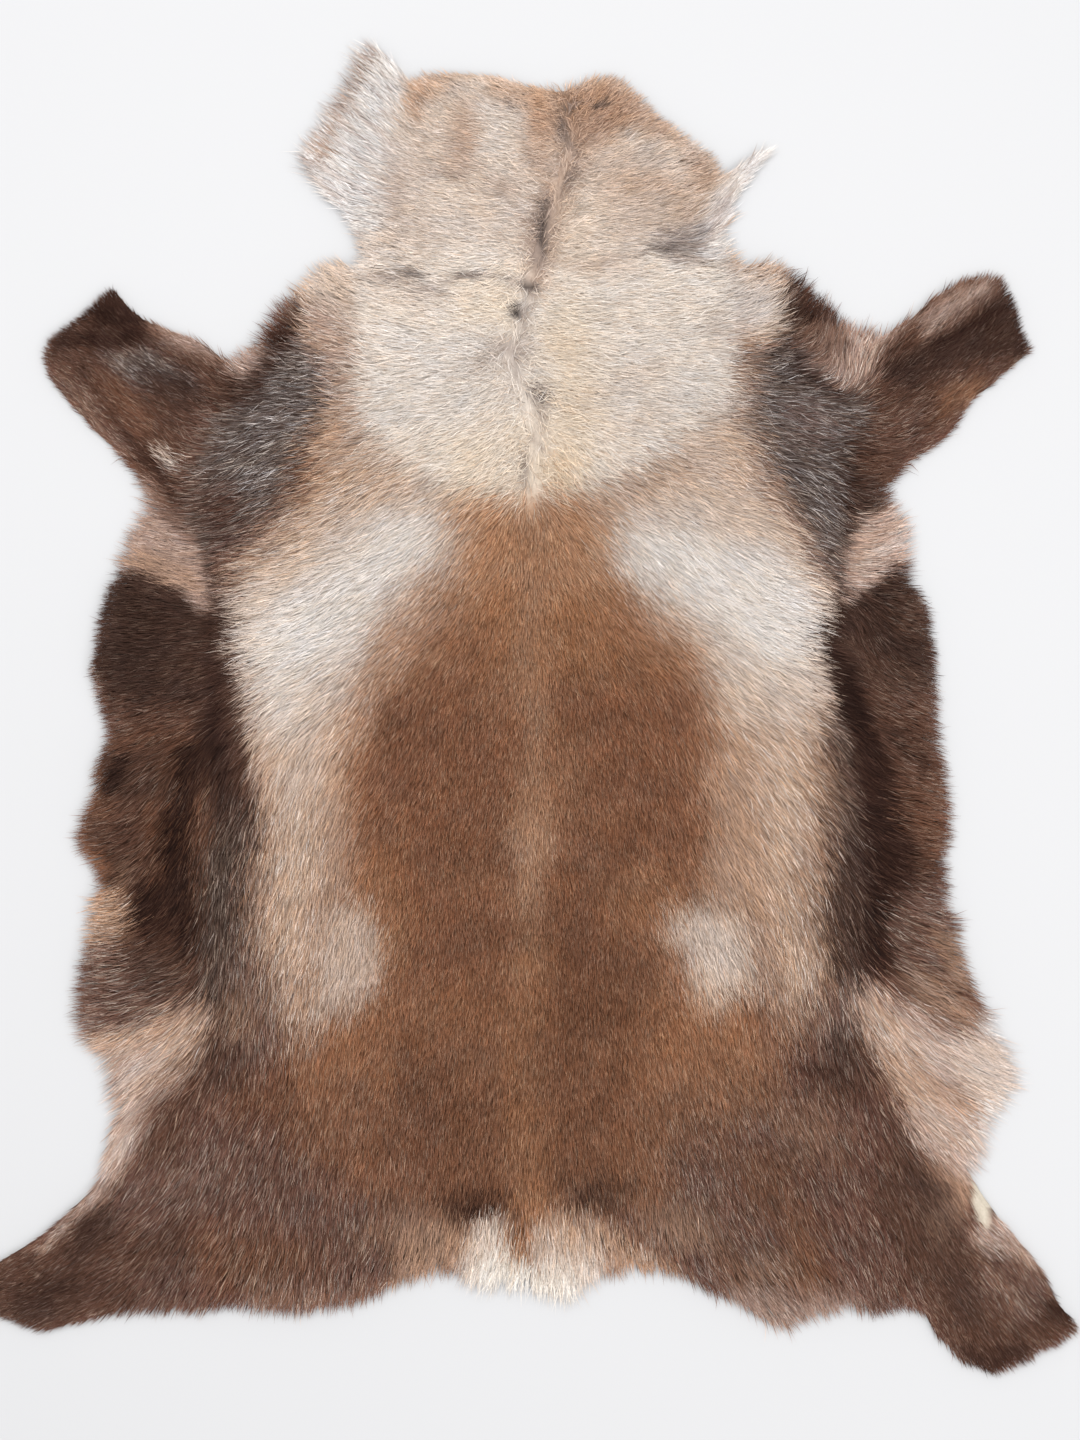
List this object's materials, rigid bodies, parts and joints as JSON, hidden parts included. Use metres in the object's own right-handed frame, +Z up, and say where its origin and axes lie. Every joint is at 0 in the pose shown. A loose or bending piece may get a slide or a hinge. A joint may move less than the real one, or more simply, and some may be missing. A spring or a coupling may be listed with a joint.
{
  "type": "reindeer hide",
  "caption": "Whole reindeer hide with its winter coat, legs, neck and tail left on, lying flat with the hair up.",
  "frame": {"origin": "on the floor plane under the middle of the hide's length and width", "axes": "+Y from the rump to the head, +X to the right as seen from above with the head away, +Z up through the coat"},
  "size_m": [1.101, 1.334, 0.0284],
  "materials": {
    "coat": "dense slanting winter hair in browns, creams and silver greys, with a soft low sheen"
  },
  "bodies": {
    "root": {"hide": "coat"}
  },
  "joints": []
}
